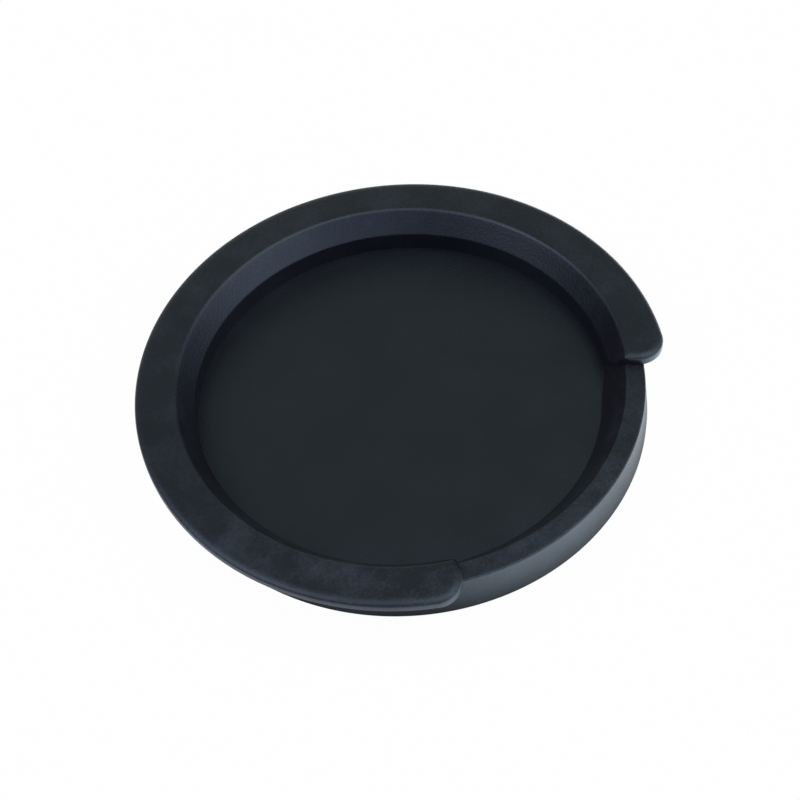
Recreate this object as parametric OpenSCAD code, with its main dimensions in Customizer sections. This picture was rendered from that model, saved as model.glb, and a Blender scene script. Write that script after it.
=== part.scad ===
// Moulded rubber cover for a round sound hole.
// A shallow dish plugs the hole, and a flange on top of it rests on the panel around the hole.
// Over one notch the flange and the lining under it are left off, so the dish wall stands bare there.
// The origin is on the axis of the dish, in its flat bottom face. The notch faces -Y.

/* [Flange] */
// Outer diameter of the flange
flange_d = 110; // [106:0.5:130]
// Thickness of the flange
flange_t = 2.3; // [1.8:0.1:4]
// Rounding of the upper edge of the flange, which also runs round its ends beside the notch
rim_edge_r = 1.4; // [0.5:0.1:1.5]
// Rounding of the lower edge of the flange
rim_under_r = 0.4; // [0.1:0.1:0.6]

/* [Plug] */
// Diameter of the plug just under the flange, where the edge of the panel sits
neck_d = 100.4; // [96:0.2:101.4]
// Depth of the plug, from the underside of the flange to the bottom face
plug_depth = 9.5; // [8:0.1:16]
// Diameter of the straight land at the foot of the plug, which grips from behind
grip_d = 101.8; // [100:0.2:104]
// Height of that land
grip_h = 1.6; // [1:0.1:5]
// Rounding of the bottom edge of the plug
foot_edge_r = 0.8; // [0.3:0.1:1.5]

/* [Dish] */
// Thickness of the floor of the dish
floor_t = 2.6; // [1.5:0.1:3.4]
// Diameter of the upright wall around the floor
well_d = 86.4; // [85:0.2:88]
// Diameter of the mouth, at the top of the sloped lining
mouth_d = 93; // [90:0.2:97]
// Drop from the top of the flange to the lower edge of the sloped lining
lining_drop = 4.8; // [3.5:0.1:6]
// Rounding between the lining and the top of the flange
mouth_edge_r = 1.2; // [0.4:0.1:1.4]
// Rounding of the lower edge of the lining
lip_edge_r = 0.8; // [0.3:0.1:1.2]

/* [Notch] */
// Angle of the notch in the flange
notch_angle = 78; // [30:1:110]
// Rounding of the outer corners of the flange beside the notch
corner_r = 5.6; // [3:0.1:6]
// Diameter of the wall's inner edge in the notch
notch_mouth_d = 92.4; // [90:0.2:95]
// Rounding of the wall's outer edge in the notch
notch_edge_r = 0.4; // [0.1:0.1:0.8]
// Diameter at the foot of the bank in the notch
bank_foot_d = 83; // [76:0.5:84]
// Angle at which the ends of the bank run down to the floor
bank_ramp = 15; // [8:1:40]

/* [Hidden] */
$fn = 96;
edge_fn = 48;
rubber = "#25292c";
flange_r = flange_d / 2;
neck_r = neck_d / 2;
grip_r = grip_d / 2;
well_r = well_d / 2;
mouth_r = mouth_d / 2;
notch_mouth_r = notch_mouth_d / 2;
bank_foot_r = bank_foot_d / 2;
// On a thin flange both edges are rounded less, and on a narrow one the corners of its ends are too
top_edge_r = min(rim_edge_r, 0.7 * flange_t);
under_edge_r = min(rim_under_r, 0.25 * flange_t);
outer_corner_r = min(corner_r, (flange_r - well_r) / 2 - 0.2);
top_z = plug_depth + flange_t;
grip_z = foot_edge_r + grip_h;
lip_z = top_z - lining_drop;
lining_angle = atan2(lining_drop, mouth_r - well_r);
// The bank and the wall above it share one slope
bank_slope = (plug_depth - floor_t) / (notch_mouth_r - bank_foot_r);
crease_z = floor_t + (well_r - bank_foot_r) * bank_slope;
// Direction that the middle of the notch faces
notch_dir = -90;
// Turn from an end of the notch to the middle of its rounded corners
corner_turn = asin(outer_corner_r / (flange_r - outer_corner_r));
// The inner corners end on the same radial plane as the outer ones
inner_corner_r = well_r * sin(corner_turn) / (1 - sin(corner_turn));
// How deep added forms are set into the wall, so that they are one with it
bite = 1;
// How far the inner corners stand proud of the lining, so that the two cross cleanly
corner_overrun = 0.1;
// How far the round posts of both corners stand proud of the faces they round off, for the same end, and
// how far the bank stays under the slope of the wall above it
seam = 0.03;
// How far the ends of the bank run on below the floor, in degrees
bank_overrun = 3;
// The lining starts this far above the crease, where it comes out of the wall
lining_start = 0.01;

// Half section of the dish: floor, wall and bare rim
module dish_section() {
    difference() {
        union() {
            polygon([[0, 0], [grip_r - foot_edge_r, 0], [grip_r, foot_edge_r], [grip_r, grip_z],
                     [neck_r, plug_depth - notch_edge_r], [neck_r - notch_edge_r, plug_depth], [0, plug_depth]]);
            translate([neck_r - notch_edge_r, plug_depth - notch_edge_r]) circle(notch_edge_r, $fn = edge_fn);
            translate([grip_r - foot_edge_r, foot_edge_r]) circle(foot_edge_r, $fn = edge_fn);
        }
        translate([-bite, floor_t]) square([well_r + bite, plug_depth]);
        polygon([[0, crease_z], [well_r, crease_z], [notch_mouth_r, plug_depth],
                 [notch_mouth_r, plug_depth + bite], [0, plug_depth + bite]]);
    }
}

// Half section of the flange and the sloped lining that runs down from it
module flange_section() {
    union() {
        difference() {
            polygon([[well_r, crease_z + lining_start], [well_r, lip_z], [mouth_r, top_z], [neck_r, top_z],
                     [neck_r, plug_depth - bite], [well_r + bite, crease_z - bite]]);
            edge_cut(mouth_r, top_z, mouth_edge_r, lining_angle, 0);
            edge_cut(well_r, lip_z, lip_edge_r, 90, lining_angle);
        }
        translate([neck_r - bite, 0]) rim_section(flange_r - neck_r + bite);
    }
}

// What rounds off a convex edge at x, z. One face runs down and inwards at the first angle below the level,
// and the other runs outwards, or upwards and outwards, at the second
module edge_cut(x, z, radius, down_angle, up_angle) {
    turn = down_angle - up_angle;
    run = radius * tan(turn / 2);
    translate([x, z]) rotate(up_angle) difference() {
        polygon([[run, -radius], [-run * cos(turn), -run * sin(turn)], [-run - bite, bite], [run, bite]]);
        translate([run, -radius]) circle(radius, $fn = edge_fn);
    }
}

// Section of the outer part of the flange, with its two edges rounded
module rim_section(width) {
    translate([0, plug_depth]) square([width - top_edge_r, flange_t]);
    translate([0, plug_depth + under_edge_r]) square([width, flange_t - top_edge_r - under_edge_r]);
    translate([width - under_edge_r, plug_depth + under_edge_r]) circle(under_edge_r, $fn = edge_fn);
    translate([width - top_edge_r, top_z - top_edge_r]) circle(top_edge_r, $fn = edge_fn);
    translate([0, plug_depth]) square([width - under_edge_r, flange_t - top_edge_r]);
}

module dish() {
    rotate_extrude() dish_section();
}

// Raised bank that fills the foot of the wall in the notch, with ends that run down to the floor
module bank() {
    half = notch_angle / 2 + corner_turn;
    difference() {
        rotate([0, 0, notch_dir - half - bank_overrun]) rotate_extrude(angle = 2 * (half + bank_overrun))
            polygon([[bank_foot_r, floor_t - seam], [well_r + bite, crease_z - seam + bite * bank_slope],
                     [well_r + bite, floor_t - bite], [bank_foot_r, floor_t - bite]]);
        for (side = [-1, 1])
            rotate([0, 0, notch_dir + side * half]) translate([0, 0, floor_t])
                rotate([-side * bank_ramp, 0, 0]) translate([0, -well_r, 0])
                    cube([flange_r, 2 * well_r, plug_depth]);
    }
}

// What is taken off one end of the flange and lining, to round its two corners and its upper edge.
// The end lies along X, with the notch below it in Y
module end_cut() {
    outer_x = (flange_r - outer_corner_r) * cos(corner_turn);
    inner_x = (well_r + inner_corner_r) * cos(corner_turn) - corner_overrun;
    corner_cut(outer_x, flange_r + bite, outer_corner_r, flange_r * sin(corner_turn));
    corner_cut(well_r - bite, inner_x, inner_corner_r, well_r * sin(corner_turn));
    translate([inner_x - bite / 2, 0, 0]) rotate([90, 0, 90]) linear_extrude(outer_x - inner_x + bite)
        difference() {
            translate([-bite, top_z - top_edge_r]) square(top_edge_r + bite);
            translate([top_edge_r - seam, top_z + seam - top_edge_r]) circle(top_edge_r, $fn = edge_fn);
        }
}

// Space outside one rounded corner, from one X to another and up to a given Y
module corner_cut(from_x, to_x, radius, to_y) {
    post_x = from_x < well_r ? to_x : from_x;
    difference() {
        translate([from_x, -bite, 0]) cube([to_x - from_x, to_y + bite, top_z + bite]);
        translate([post_x, radius, 0]) rotate_extrude() post_section(radius + seam);
    }
}

// Half section of the round post that stays inside a corner, with its upper edge rounded
module post_section(post_r) {
    translate([0, -bite]) square([post_r, top_z + seam - top_edge_r + bite]);
    translate([0, -bite]) square([post_r - top_edge_r, top_z + 3 * bite]);
    translate([post_r - top_edge_r, top_z + seam - top_edge_r]) circle(top_edge_r, $fn = edge_fn);
}

// Flange and sloped lining, all round but for the notch
module flange() {
    sweep = 360 - notch_angle;
    difference() {
        rotate([0, 0, notch_dir - sweep / 2 + 180]) rotate_extrude(angle = sweep) flange_section();
        rotate([0, 0, notch_dir + notch_angle / 2]) end_cut();
        rotate([0, 0, notch_dir - notch_angle / 2]) mirror([0, 1, 0]) end_cut();
    }
}

module cover() {
    color(rubber) union() {
        dish();
        bank();
        flange();
    }
}

cover();
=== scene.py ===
"""Looks of a moulded rubber cover for a round sound hole, on a white studio table."""

import logging
import math
from dataclasses import dataclass, field
from typing import Any

import bmesh
import bpy
import numpy as np
from mathutils import Matrix, Vector


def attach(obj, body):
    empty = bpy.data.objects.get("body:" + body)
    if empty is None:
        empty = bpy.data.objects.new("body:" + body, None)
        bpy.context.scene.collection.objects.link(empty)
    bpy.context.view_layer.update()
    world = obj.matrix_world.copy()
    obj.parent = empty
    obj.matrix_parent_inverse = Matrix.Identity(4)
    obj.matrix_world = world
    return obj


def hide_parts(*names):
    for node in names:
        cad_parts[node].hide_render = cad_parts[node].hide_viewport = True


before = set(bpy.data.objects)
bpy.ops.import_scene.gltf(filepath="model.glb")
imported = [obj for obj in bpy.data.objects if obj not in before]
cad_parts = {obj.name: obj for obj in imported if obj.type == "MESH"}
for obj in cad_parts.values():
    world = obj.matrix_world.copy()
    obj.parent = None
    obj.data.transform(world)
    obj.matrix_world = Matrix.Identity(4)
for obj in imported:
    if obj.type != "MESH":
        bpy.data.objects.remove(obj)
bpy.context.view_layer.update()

LOG = logging.getLogger("scene")
MM = 0.001
PHOTO_PIXELS = 800


def linear(hex_colour: str) -> tuple[float, float, float, float]:
    """Turns an sRGB hex colour into linear RGBA.

    Args:
        hex_colour: Six hex digits, with or without a leading #.

    Returns:
        Linear red, green, blue and an alpha of 1.
    """
    digits = hex_colour.lstrip("#")
    channels = [int(digits[i:i + 2], 16) / 255 for i in (0, 2, 4)]
    parts = [c / 12.92 if c <= 0.04045 else ((c + 0.055) / 1.055) ** 2.4 for c in channels]
    return (parts[0], parts[1], parts[2], 1.0)


def add_node(tree: bpy.types.NodeTree, kind: str, settings: dict[str, Any] | None = None,
             inputs: dict[Any, Any] | None = None) -> bpy.types.Node:
    """Adds a shader node, sets its properties and fills or links its inputs.

    Args:
        tree: Node tree that takes the node.
        kind: Blender's name of the node type.
        settings: Properties of the node, by name.
        inputs: Input sockets by name or number, each with a value or an output socket to link.

    Returns:
        The new node.
    """
    node = tree.nodes.new(kind)
    for name, value in (settings or {}).items():
        setattr(node, name, value)
    for key, value in (inputs or {}).items():
        if isinstance(value, bpy.types.NodeSocket):
            tree.links.new(value, node.inputs[key])
        else:
            node.inputs[key].default_value = value
    return node


def new_material(name: str) -> bpy.types.Material:
    """Makes a material with an empty node tree."""
    material = bpy.data.materials.new(name)
    material.use_nodes = True
    material.node_tree.nodes.clear()
    return material


@dataclass(frozen=True)
class MouldedRubber:
    """Soft black rubber, pressed in a lightly blasted steel mould.

    The blasting gives the skin a fine matt grain. Wax from inside the rubber blooms on it as a faint
    bluish haze in specks and patches, thicker towards one side of the cover. Little of it is left on the
    floor, and the middle has been wiped clean. Grain and specks are drawn a little coarser than they
    are. Bearings are in degrees from +X.
    """

    clean_colour: str = "#06090a"
    skin_colour: str = "#06040a"
    bloom_colour: str = "#272b35"
    sheen_tint: str = "#d2e9ff"
    ior: float = 1.53
    roughness_low: float = 0.375
    roughness_high: float = 0.45
    grain_mm: float = 0.6
    grain_depth_mm: float = 0.055
    speck_share: float = 0.8
    smear_mm: float = 13.0
    smear_seed: float = 2.0
    smear_low: float = 0.3
    smear_high: float = 0.7
    bloom_mm: float = 6.0
    bloom_low: float = 0.46
    bloom_high: float = 0.99
    floor_edge_mm: float = 43.0
    wiped_to_mm: float = 33.0
    floor_haze: float = 0.2
    lining_reach_mm: float = 2.0
    haze_bearing: float = -125.0
    haze_side_low: float = 0.75
    haze_side_high: float = 1.9
    haze_side_reach_mm: float = 50.0

    def build(self) -> bpy.types.Material:
        """Builds the material.

        Returns:
            The rubber material.
        """
        material = new_material("moulded_rubber")
        tree = material.node_tree
        place = add_node(tree, "ShaderNodeTexCoord").outputs["Object"]
        smear = add_node(tree, "ShaderNodeTexNoise", {"noise_dimensions": "4D"},
                         {"Vector": place, "W": self.smear_seed, "Scale": 1 / (self.smear_mm * MM), "Detail": 4.0,
                          "Roughness": 0.55})
        patches = add_node(tree, "ShaderNodeTexNoise", None,
                           {"Vector": place, "Scale": 1 / (self.bloom_mm * MM), "Detail": 5.0, "Roughness": 0.65,
                            "Distortion": 0.15})
        grain = add_node(tree, "ShaderNodeTexNoise", None,
                         {"Vector": place, "Scale": 1 / (self.grain_mm * MM), "Detail": 3.0, "Roughness": 0.6})
        both = add_node(tree, "ShaderNodeMath", {"operation": "ADD"},
                        {0: smear.outputs["Fac"], 1: patches.outputs["Fac"]})
        specked = add_node(tree, "ShaderNodeMath", {"operation": "MULTIPLY_ADD"},
                           {0: grain.outputs["Fac"], 1: self.speck_share, 2: both.outputs["Value"]})
        mean_speck = 0.5 * self.speck_share
        bloom = add_node(tree, "ShaderNodeMapRange", None,
                         {"Value": specked.outputs["Value"], "From Min": 2 * self.bloom_low + mean_speck,
                          "From Max": 2 * self.bloom_high + mean_speck})
        flat = add_node(tree, "ShaderNodeVectorMath", {"operation": "MULTIPLY"}, {0: place, 1: (1.0, 1.0, 0.0)})
        radius = add_node(tree, "ShaderNodeVectorMath", {"operation": "LENGTH"}, {0: flat.outputs["Vector"]})
        unwiped = add_node(tree, "ShaderNodeMapRange", {"interpolation_type": "SMOOTHSTEP"},
                           {"Value": radius.outputs["Value"], "From Min": self.wiped_to_mm * MM,
                            "From Max": self.floor_edge_mm * MM})
        raised = add_node(tree, "ShaderNodeMapRange", None,
                          {"Value": radius.outputs["Value"], "From Min": self.floor_edge_mm * MM,
                           "From Max": (self.floor_edge_mm + self.lining_reach_mm) * MM,
                           "To Min": self.floor_haze})
        # The haze thickens towards one side of the cover.
        bearing = math.radians(self.haze_bearing)
        side = add_node(tree, "ShaderNodeVectorMath", {"operation": "DOT_PRODUCT"},
                        {0: place, 1: (math.cos(bearing), math.sin(bearing), 0.0)})
        haze_side = add_node(tree, "ShaderNodeMapRange", {"interpolation_type": "SMOOTHSTEP"},
                           {"Value": side.outputs["Value"], "From Min": 0.0, "From Max": self.haze_side_reach_mm * MM,
                            "To Min": self.haze_side_low, "To Max": self.haze_side_high})
        kept = add_node(tree, "ShaderNodeMath", {"operation": "MULTIPLY"},
                        {0: unwiped.outputs["Result"], 1: haze_side.outputs["Result"]})
        spread = add_node(tree, "ShaderNodeMath", {"operation": "MULTIPLY"},
                          {0: kept.outputs["Value"], 1: raised.outputs["Result"]})
        haze = add_node(tree, "ShaderNodeMath", {"operation": "MULTIPLY", "use_clamp": True},
                        {0: bloom.outputs["Result"], 1: spread.outputs["Value"]})
        gloss = add_node(tree, "ShaderNodeMapRange", None,
                         {"Value": smear.outputs["Fac"], "From Min": self.smear_low, "From Max": self.smear_high,
                          "To Min": self.roughness_low, "To Max": self.roughness_high})
        skin = add_node(tree, "ShaderNodeMix", {"data_type": "RGBA"},
                        {"Factor": unwiped.outputs["Result"], "A": linear(self.clean_colour),
                         "B": linear(self.skin_colour)})
        tint = add_node(tree, "ShaderNodeMix", {"data_type": "RGBA"},
                        {"Factor": haze.outputs["Value"], "A": skin.outputs["Result"],
                         "B": linear(self.bloom_colour)})
        bump = add_node(tree, "ShaderNodeBump", None,
                        {"Height": grain.outputs["Fac"], "Distance": self.grain_depth_mm * MM, "Strength": 1.0})
        shader = add_node(tree, "ShaderNodeBsdfPrincipled", None,
                          {"Base Color": tint.outputs["Result"], "Roughness": gloss.outputs["Result"],
                           "IOR": self.ior, "Specular Tint": linear(self.sheen_tint),
                           "Normal": bump.outputs["Normal"]})
        add_node(tree, "ShaderNodeOutputMaterial", None, {"Surface": shader.outputs["BSDF"]})
        return material


@dataclass(frozen=True)
class TablePaper:
    """White paper sweep. To the eye it is lit until it is plain white, with a faint shadow left on it.

    In reflections only, the paper glows as a painted pool of light, brighter towards one side. Painted
    shade darkens its colour and its glow close to the cover's own foot. The bearing is in degrees from +X.
    """

    colour: str = "#c4c4c4"
    painted_shadow_colour: str = "#202020"
    shadow_share: float = 0.015
    glow_low: float = 0.72
    glow_high: float = 2.35
    glow_colour: str = "#f0faff"
    glow_bearing: float = -58.0
    glow_reach_mm: float = 40.0
    contact_mm: float = 9.0
    contact_power: float = 3.0
    contact_samples: int = 8

    def build(self) -> bpy.types.Material:
        """Builds the material.

        Returns:
            The paper material.
        """
        material = new_material("table_paper")
        tree = material.node_tree
        path = add_node(tree, "ShaderNodeLightPath")
        # Painted contact shade: ambient occlusion darkens the paper's matt colour close to the cover's foot.
        nearness = add_node(tree, "ShaderNodeAmbientOcclusion", {"samples": self.contact_samples},
                            {"Distance": self.contact_mm * MM})
        open_sky = add_node(tree, "ShaderNodeMath", {"operation": "POWER"},
                            {0: nearness.outputs["AO"], 1: self.contact_power})
        tone = add_node(tree, "ShaderNodeMix", {"data_type": "RGBA"},
                        {"Factor": open_sky.outputs["Value"], "A": linear(self.painted_shadow_colour),
                         "B": linear(self.colour)})
        share = add_node(tree, "ShaderNodeMath", {"operation": "MULTIPLY"},
                         {0: path.outputs["Is Camera Ray"], 1: 1 - self.shadow_share})
        matt = add_node(tree, "ShaderNodeBsdfDiffuse", None, {"Color": tone.outputs["Result"]})
        white = add_node(tree, "ShaderNodeEmission", None, {"Color": (1.0, 1.0, 1.0, 1.0), "Strength": 1.0})
        mixed = add_node(tree, "ShaderNodeMixShader", None,
                         {0: share.outputs["Value"], 1: matt.outputs["BSDF"], 2: white.outputs["Emission"]})
        # Painted pool of light: in reflections only the paper glows, brighter towards one side and dimmed by the
        # painted contact shade.
        place = add_node(tree, "ShaderNodeTexCoord").outputs["Object"]
        bearing = math.radians(self.glow_bearing)
        side = add_node(tree, "ShaderNodeVectorMath", {"operation": "DOT_PRODUCT"},
                        {0: place, 1: (math.cos(bearing), math.sin(bearing), 0.0)})
        glow_pool = add_node(tree, "ShaderNodeMapRange", {"interpolation_type": "SMOOTHSTEP"},
                          {"Value": side.outputs["Value"], "From Min": 0.0, "From Max": self.glow_reach_mm * MM,
                           "To Min": self.glow_low, "To Max": self.glow_high})
        mirrored = add_node(tree, "ShaderNodeMath", {"operation": "MULTIPLY"},
                            {0: glow_pool.outputs["Result"], 1: open_sky.outputs["Value"]})
        glow = add_node(tree, "ShaderNodeMath", {"operation": "MULTIPLY"},
                        {0: path.outputs["Is Glossy Ray"], 1: mirrored.outputs["Value"]})
        lit = add_node(tree, "ShaderNodeEmission", None,
                       {"Color": linear(self.glow_colour), "Strength": glow.outputs["Value"]})
        both = add_node(tree, "ShaderNodeAddShader", None,
                        {0: mixed.outputs["Shader"], 1: lit.outputs["Emission"]})
        add_node(tree, "ShaderNodeOutputMaterial", None, {"Surface": both.outputs["Shader"]})
        return material


@dataclass(frozen=True)
class CoverForm:
    """Form of the moulding, in millimetres and degrees, with the sizes of its CAD solid.

    Two edges are shaped more closely than in the solid: the upper edge of the flange is rounded wider
    than deep, and the ends of the bank in the notch taper off in a curve. The surface is worked out in
    closed form on columns round the axis, finely enough for its round edges to shine evenly. Angles
    are counted from the middle of the notch.
    """

    flange_r: float = 55.0
    flange_t: float = 2.3
    top_edge_width: float = 1.8
    top_edge_depth: float = 0.9
    under_edge_r: float = 0.4
    neck_r: float = 50.2
    plug_depth: float = 9.5
    grip_r: float = 50.9
    grip_h: float = 1.6
    foot_edge_r: float = 0.8
    floor_t: float = 2.6
    well_r: float = 43.2
    mouth_r: float = 46.5
    lining_drop: float = 4.8
    mouth_edge_r: float = 1.2
    lip_edge_r: float = 0.8
    notch_half: float = 39.0
    notch_dir: float = -90.0
    corner_r: float = 5.6
    notch_mouth_r: float = 46.2
    notch_edge_r: float = 0.4
    bank_foot_r: float = 41.5
    bank_ramp: float = 15.0
    column_step: float = 0.75
    arc_steps: int = 8
    run_steps: int = 4
    corner_steps: int = 24
    foot_rings: tuple[float, ...] = (0.0, 20.0, 40.0)
    floor_rings: tuple[float, ...] = (39.0, 32.0, 20.0, 0.0)
    weld: float = 0.002
    crease: float = 30.0

    @property
    def top_z(self) -> float:
        """Height of the top of the flange."""
        return self.plug_depth + self.flange_t

    @property
    def corner_turn(self) -> float:
        """Angle from an end of the notch to the middle of its rounded corners, in radians."""
        return math.asin(self.corner_r / (self.flange_r - self.corner_r))

    @property
    def bank_slope(self) -> float:
        """Rise of the bank, and of the bare wall above it, over its run."""
        return (self.plug_depth - self.floor_t) / (self.notch_mouth_r - self.bank_foot_r)

    def reach(self, turn: float, inset: float) -> tuple[float, float]:
        """Finds where a ray from the axis enters and leaves the flange.

        Args:
            turn: Angle of the ray from the nearer end of the flange, in radians.
            inset: How far inside the outline of the flange, as its upper edge is rounded.

        Returns:
            The inner and the outer radius.
        """
        if turn >= self.corner_turn:
            return self.well_r + inset, self.flange_r - inset
        sine = math.sin(self.corner_turn)
        inner_r = self.well_r * sine / (1 - sine)
        ends = []
        for middle, radius, side in ((self.well_r + inner_r, inner_r, -1), (self.flange_r - self.corner_r,
                                                                            self.corner_r, 1)):
            centre_x, centre_y = middle * math.cos(self.corner_turn), radius
            along = centre_x * math.cos(turn) + centre_y * math.sin(turn)
            off = centre_x * math.sin(turn) - centre_y * math.cos(turn)
            ends.append(along + side * math.sqrt(max(0.0, (radius - inset) ** 2 - off ** 2)))
        return ends[0], ends[1]

    def edge_height(self, inset: float) -> float:
        """Height of the rounded upper edge of the flange, this far inside its outline."""
        left = max(0.0, 1 - inset / self.top_edge_width)
        return self.top_z - self.top_edge_depth * (1 - math.sqrt(1 - left ** 2))

    def run(self, start: tuple[float, float], end: tuple[float, float]) -> list[tuple[float, float]]:
        """Radius and height of evenly spaced points on a straight line, from after its start to its end."""
        return [(start[0] + (end[0] - start[0]) * k / self.run_steps,
                 start[1] + (end[1] - start[1]) * k / self.run_steps) for k in range(1, self.run_steps + 1)]

    def mouth_profile(self) -> list[tuple[float, float]]:
        """Radius and height of the mouth and lining, from the top of the flange down to the lip."""
        slope = math.atan2(self.lining_drop, self.mouth_r - self.well_r)
        lip_z = self.top_z - self.lining_drop
        run = self.mouth_edge_r * math.tan(slope / 2)
        points = [(self.mouth_r + run - self.mouth_edge_r * math.sin(slope * k / self.arc_steps),
                   self.top_z - self.mouth_edge_r * (1 - math.cos(slope * k / self.arc_steps)))
                  for k in range(self.arc_steps + 1)]
        start = points[-1]
        turn = math.pi / 2 - slope
        run = self.lip_edge_r * math.tan(turn / 2)
        lip = [(self.well_r + self.lip_edge_r * (1 - math.cos(turn * (1 - k / self.arc_steps))),
                lip_z - run + self.lip_edge_r * math.sin(turn * (1 - k / self.arc_steps)))
               for k in range(self.arc_steps + 1)]
        points += self.run(start, lip[0])[:-1]
        return points + lip

    def wall_section(self, bare: bool) -> list[tuple[float, float]]:
        """Radius and height of the plug's outside, from the middle of its foot up to the flange.

        Args:
            bare: Whether the upper edge of the wall is bare and rounded.
        """
        points = [(radius, 0.0) for radius in self.foot_rings]
        for k in range(self.arc_steps + 1):
            lean = math.pi / 2 * k / self.arc_steps
            points.append((self.grip_r - self.foot_edge_r * (1 - math.sin(lean)),
                           self.foot_edge_r * (1 - math.cos(lean))))
        grip_z = self.foot_edge_r + self.grip_h
        neck_z = self.plug_depth - self.notch_edge_r
        points += [(self.grip_r, grip_z)] + self.run((self.grip_r, grip_z), (self.neck_r, neck_z))
        for k in range(1, self.arc_steps + 1):
            lean = math.pi / 2 * k / self.arc_steps
            back = self.notch_edge_r * (1 - math.cos(lean)) if bare else 0.0
            points.append((self.neck_r - back, neck_z + self.notch_edge_r * math.sin(lean)))
        return points

    def dish_height(self, radius: float) -> float:
        """Height of the rim and wall that the flange stands on."""
        return self.plug_depth - max(0.0, self.notch_mouth_r - radius) * self.bank_slope

    def bank_taper(self, angle: float) -> float:
        """Share of the bank's full height and depth at an angle in radians, less towards its two ends."""
        from_end = math.radians(self.notch_half) + self.corner_turn - angle
        run = (self.dish_height(self.well_r) - self.floor_t) / math.tan(math.radians(self.bank_ramp))
        return math.sin(math.pi / 2 * min(1.0, max(0.0, from_end * self.well_r / run)))

    def column(self, angle: float, flanged: bool) -> list[tuple[float, float]]:
        """Radius and height of the whole section at one angle, from the middle of the foot to that of the floor.

        Args:
            angle: Angle from the middle of the notch, in radians, whatever its sign.
            flanged: Whether the flange stands here.
        """
        turn = max(0.0, angle - math.radians(self.notch_half))
        inner, outer = self.reach(turn, 0.0)
        base_z, dish_z = self.plug_depth, self.dish_height(inner)
        points = self.wall_section(bare=outer < self.neck_r)
        for k in range(self.arc_steps + 1):
            lean = math.pi / 2 * k / self.arc_steps
            rise = self.under_edge_r * (1 - math.cos(lean)) if flanged else 0.0
            points.append((min(outer, self.flange_r - self.under_edge_r * (1 - math.sin(lean))), base_z + rise))
        depth = (self.reach(0.0, 0.0)[0] + self.reach(0.0, 0.0)[1]) / 2 * math.sin(turn)
        insets = [min(depth, self.top_edge_width * (1 - math.cos(math.pi / 2 * k / self.arc_steps)))
                  for k in range(self.arc_steps + 1)]
        bounds = [self.reach(turn, inset) for inset in insets]
        heights = [self.edge_height(inset) for inset in insets]
        points += [(bound[1], height if flanged else base_z) for bound, height in zip(bounds, heights)]
        mouth = self.mouth_profile()
        inner_top, outer_top = bounds[-1]
        start = min(outer_top, max(inner_top, mouth[0][0]))
        spread = [outer_top + (start - outer_top) * k / self.run_steps for k in range(1, self.run_steps)]
        spread += sorted([bound[0] for bound in bounds] + [max(inner, radius) for radius, _ in mouth], reverse=True)
        mouth_r, mouth_z = zip(*reversed(mouth))
        for radius in (min(outer_top, r) for r in spread):
            height = min(float(np.interp(radius, [b[0] for b in bounds], heights)),
                         float(np.interp(radius, mouth_r, mouth_z)))
            points.append((radius, height if flanged else base_z))
        last = points[-1][1]
        points += self.run((inner, last), (inner, dish_z))
        crease_z = self.dish_height(self.well_r)
        for k in range(self.run_steps + 1):
            radius = min(inner, self.notch_mouth_r + (self.well_r - self.notch_mouth_r) * k / self.run_steps)
            points.append((radius, self.dish_height(radius)))
        taper = self.bank_taper(angle)
        wall_z = self.floor_t + (crease_z - self.floor_t) * taper
        foot_r = self.well_r - (self.well_r - self.bank_foot_r) * taper
        points += self.run((self.well_r, crease_z), (self.well_r, wall_z))
        points += self.run((self.well_r, wall_z), (foot_r, self.floor_t))
        return points + [(radius, self.floor_t) for radius in self.floor_rings]

    def column_angles(self) -> list[tuple[float, bool]]:
        """Angle of each column from the middle of the notch, all the way round, and whether it is flanged."""
        half, middle = math.radians(self.notch_half), sum(self.reach(0.0, 0.0)) / 2
        step = math.radians(self.column_step)
        edge = [self.top_edge_width * (1 - math.cos(math.pi / 2 * k / self.arc_steps)) for k in range(self.arc_steps)]
        rest = [self.corner_r * (1 - math.cos(math.pi / 2 * k / self.corner_steps))
                for k in range(1, self.corner_steps)]
        turns = [math.asin(inset / middle) for inset in edge + [r for r in rest if r > self.top_edge_width]]
        turns = [turn for turn in turns if turn < self.corner_turn] + [self.corner_turn]
        count = round((math.pi - half - self.corner_turn) / step)
        turns += [self.corner_turn + (math.pi - half - self.corner_turn) * k / count for k in range(1, count + 1)]
        count = round(half / step)
        side = [(half * k / count, False) for k in range(count + 1)] + [(half + turn, True) for turn in turns]
        return side + [(-angle, flanged) for angle, flanged in reversed(side[1:-1])]

    def build(self, name: str) -> bpy.types.Object:
        """Builds the moulding as one closed mesh.

        Args:
            name: Name of the new object.

        Returns:
            The object, in metres, in the frame's own place.
        """
        columns = []
        for angle, flanged in self.column_angles():
            around = math.radians(self.notch_dir) + angle
            columns.append([(r * math.cos(around) * MM, r * math.sin(around) * MM, z * MM)
                            for r, z in self.column(abs(angle), flanged)])
        height = len(columns[0])
        faces = [(i * height + k, (i + 1) % len(columns) * height + k, (i + 1) % len(columns) * height + k + 1,
                  i * height + k + 1) for i in range(len(columns)) for k in range(height - 1)]
        mesh = bpy.data.meshes.new(name)
        mesh.from_pydata([point for column in columns for point in column], [], faces)
        editor = bmesh.new()
        editor.from_mesh(mesh)
        bmesh.ops.remove_doubles(editor, verts=editor.verts, dist=self.weld * MM)
        bmesh.ops.recalc_face_normals(editor, faces=editor.faces)
        editor.to_mesh(mesh)
        editor.free()
        mesh.shade_smooth()
        mesh.set_sharp_from_angle(angle=math.radians(self.crease))
        piece = bpy.data.objects.new(name, mesh)
        bpy.context.scene.collection.objects.link(piece)
        return piece


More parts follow.
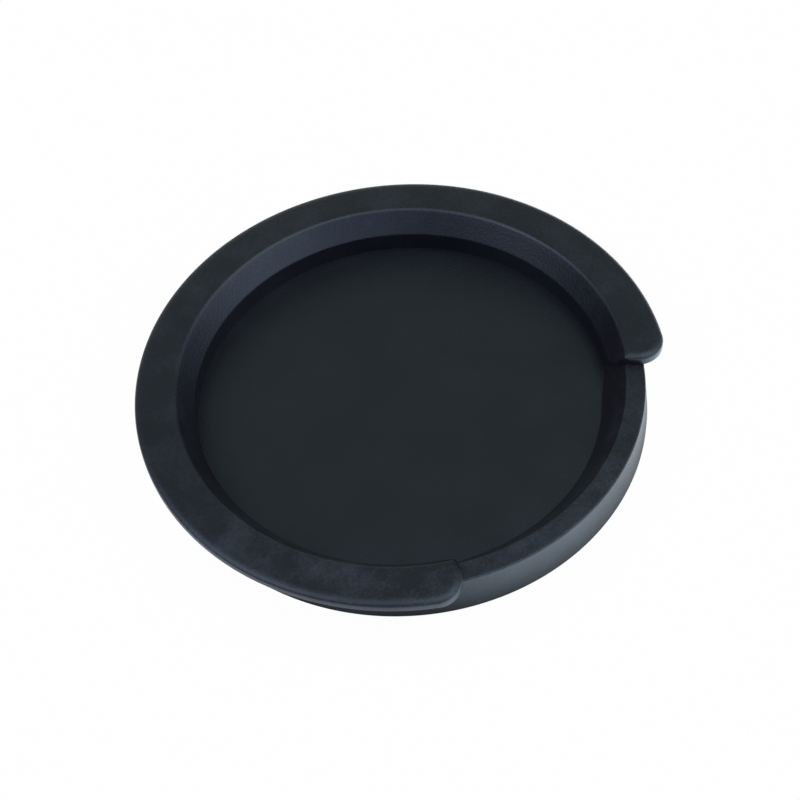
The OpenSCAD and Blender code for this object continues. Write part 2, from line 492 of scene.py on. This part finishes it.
@dataclass
class SoundHoleCover:
    """The cover itself, one moulded piece."""

    node: str = "cover"
    form: CoverForm = field(default_factory=CoverForm)
    rubber: MouldedRubber = field(default_factory=MouldedRubber)

    def dress(self) -> None:
        """Puts the finely meshed moulding in the place of its CAD solid, in its rubber skin."""
        piece = self.form.build("moulding")
        piece.data.materials.append(self.rubber.build())
        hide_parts(self.node)
        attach(piece, "root")
        LOG.info("moulding: %d faces", len(piece.data.polygons))


@dataclass
class ViewingCamera:
    """Camera at the angle from which the cover is seen.

    The bearing is that of the camera from the cover, in degrees from +X about +Z.
    """

    bearing: float = -138.1
    elevation: float = 52.44
    roll: float = -5.62
    distance_mm: float = 330.0
    aim_right_mm: float = -0.6
    aim_back_mm: float = 1.8
    focal_pixels: float = 1554.0
    sensor_mm: float = 36.0
    nearest_m: float = 0.01
    farthest_m: float = 20.0

    def place(self) -> None:
        """Adds the camera and makes it the scene's own."""
        data = bpy.data.cameras.new("viewing_camera")
        data.sensor_width = self.sensor_mm
        data.lens = self.focal_pixels * self.sensor_mm / PHOTO_PIXELS
        data.clip_start = self.nearest_m
        data.clip_end = self.farthest_m
        camera = bpy.data.objects.new("viewing_camera", data)
        bpy.context.scene.collection.objects.link(camera)
        turn = Matrix.Rotation(math.radians(self.bearing + 90), 4, "Z")
        tilt = math.radians(self.elevation)
        roll = math.radians(self.roll)
        back = Vector((0.0, -math.cos(tilt), math.sin(tilt)))
        right = Vector((1.0, 0.0, 0.0))
        up = back.cross(right)
        rolled_right = math.cos(roll) * right + math.sin(roll) * up
        rolled_up = math.cos(roll) * up - math.sin(roll) * right
        eye = Vector((self.aim_right_mm, self.aim_back_mm, 0.0)) * MM + back * self.distance_mm * MM
        axes = Matrix((rolled_right, rolled_up, back)).transposed().to_4x4()
        camera.matrix_world = turn @ Matrix.Translation(eye) @ axes
        bpy.context.scene.camera = camera
        LOG.info("camera: %.1f mm lens, %.0f mm from the aim point", data.lens, self.distance_mm)


@dataclass(frozen=True)
class SoftLight:
    """One soft light round the table, such as a softbox or a lit wall, brightest at its middle.

    Its bearing is counted from the camera's own, anticlockwise from above.
    """

    name: str
    bearing: float
    elevation: float
    radiance: float
    colour: str = "#ffffff"
    focus: float = 12.0

    def shine(self, tree: bpy.types.NodeTree, view: bpy.types.NodeSocket, camera_bearing: float) -> bpy.types.Node:
        """Adds the nodes that give the light's colour and strength in each direction.

        Args:
            tree: Node tree of the world.
            view: Socket with the direction looked in.
            camera_bearing: Bearing of the camera.

        Returns:
            Node whose vector output is the light.
        """
        around = math.radians(camera_bearing + self.bearing)
        up = math.radians(self.elevation)
        middle = (math.cos(up) * math.cos(around), math.cos(up) * math.sin(around), math.sin(up))
        facing = add_node(tree, "ShaderNodeVectorMath", {"operation": "DOT_PRODUCT"}, {0: view, 1: middle})
        front = add_node(tree, "ShaderNodeMath", {"operation": "MAXIMUM"}, {0: facing.outputs["Value"], 1: 0.0})
        falloff = add_node(tree, "ShaderNodeMath", {"operation": "POWER"}, {0: front.outputs["Value"], 1: self.focus})
        LOG.info("light %s: radiance %.2f", self.name, self.radiance)
        return add_node(tree, "ShaderNodeVectorMath", {"operation": "SCALE"},
                        {0: [self.radiance * part for part in linear(self.colour)[:3]],
                         "Scale": falloff.outputs["Value"]})


@dataclass
class Studio:
    """White table under a ring of soft lights."""

    camera_bearing: float
    table_mm: float = 6000.0
    paper: TablePaper = field(default_factory=TablePaper)
    lights: tuple[SoftLight, ...] = (
        SoftLight("right_softbox", bearing=72.0, elevation=24.0, radiance=2.33, colour="#f2f2ff"),
        SoftLight("right_softbox_top", bearing=72.0, elevation=68.0, radiance=3.68, colour="#f7fff3"),
        SoftLight("left_softbox", bearing=-72.0, elevation=46.0, radiance=4.2, colour="#f2f2ff"),
        SoftLight("low_window", bearing=36.0, elevation=6.0, radiance=1.75, colour="#f2f2ff"),
        SoftLight("front_wall", bearing=0.0, elevation=24.0, radiance=0.95, colour="#e3e3ff"),
        SoftLight("right_wall", bearing=108.0, elevation=24.0, radiance=0.7, colour="#f2f2ff"),
        SoftLight("back_wall", bearing=180.0, elevation=24.0, radiance=0.81, colour="#f4fff0"),
        SoftLight("left_wall", bearing=-144.0, elevation=24.0, radiance=0.43),
    )

    def lay_table(self) -> None:
        """Adds the table top, which isn't part of the object."""
        half = self.table_mm * MM / 2
        mesh = bpy.data.meshes.new("table")
        corners = [(-half, -half, 0), (half, -half, 0), (half, half, 0), (-half, half, 0)]
        mesh.from_pydata(corners, [], [(0, 1, 2, 3)])
        table = bpy.data.objects.new("table", mesh)
        bpy.context.scene.collection.objects.link(table)
        mesh.materials.append(self.paper.build())
        LOG.info("table: %.1f m wide", half * 2)

    def light_room(self) -> None:
        """Lights the object by the soft lights, and shows the surroundings to the camera as plain white."""
        world = bpy.data.worlds.new("room")
        bpy.context.scene.world = world
        world.use_nodes = True
        tree = world.node_tree
        tree.nodes.clear()
        view = add_node(tree, "ShaderNodeTexCoord").outputs["Generated"]
        total = None
        for light in self.lights:
            shine = light.shine(tree, view, self.camera_bearing).outputs["Vector"]
            total = shine if total is None else add_node(
                tree, "ShaderNodeVectorMath", {"operation": "ADD"}, {0: total, 1: shine}).outputs["Vector"]
        path = add_node(tree, "ShaderNodeLightPath")
        shown = add_node(tree, "ShaderNodeMix", {"data_type": "VECTOR"},
                         {"Factor": path.outputs["Is Camera Ray"], "A": total, "B": (1.0, 1.0, 1.0)})
        sky = add_node(tree, "ShaderNodeBackground", None, {"Color": shown.outputs["Result"], "Strength": 1.0})
        add_node(tree, "ShaderNodeOutputWorld", None, {"Surface": sky.outputs["Background"]})

    def build(self) -> None:
        """Builds the whole studio."""
        self.lay_table()
        self.light_room()
        bpy.context.scene.view_settings.view_transform = "Standard"


def main() -> None:
    """Dresses the cover and sets up the camera and studio."""
    logging.basicConfig(level=logging.INFO, format="%(message)s")
    camera = ViewingCamera()
    camera.place()
    SoundHoleCover().dress()
    Studio(camera_bearing=camera.bearing).build()


if __name__ == "__main__":
    main()
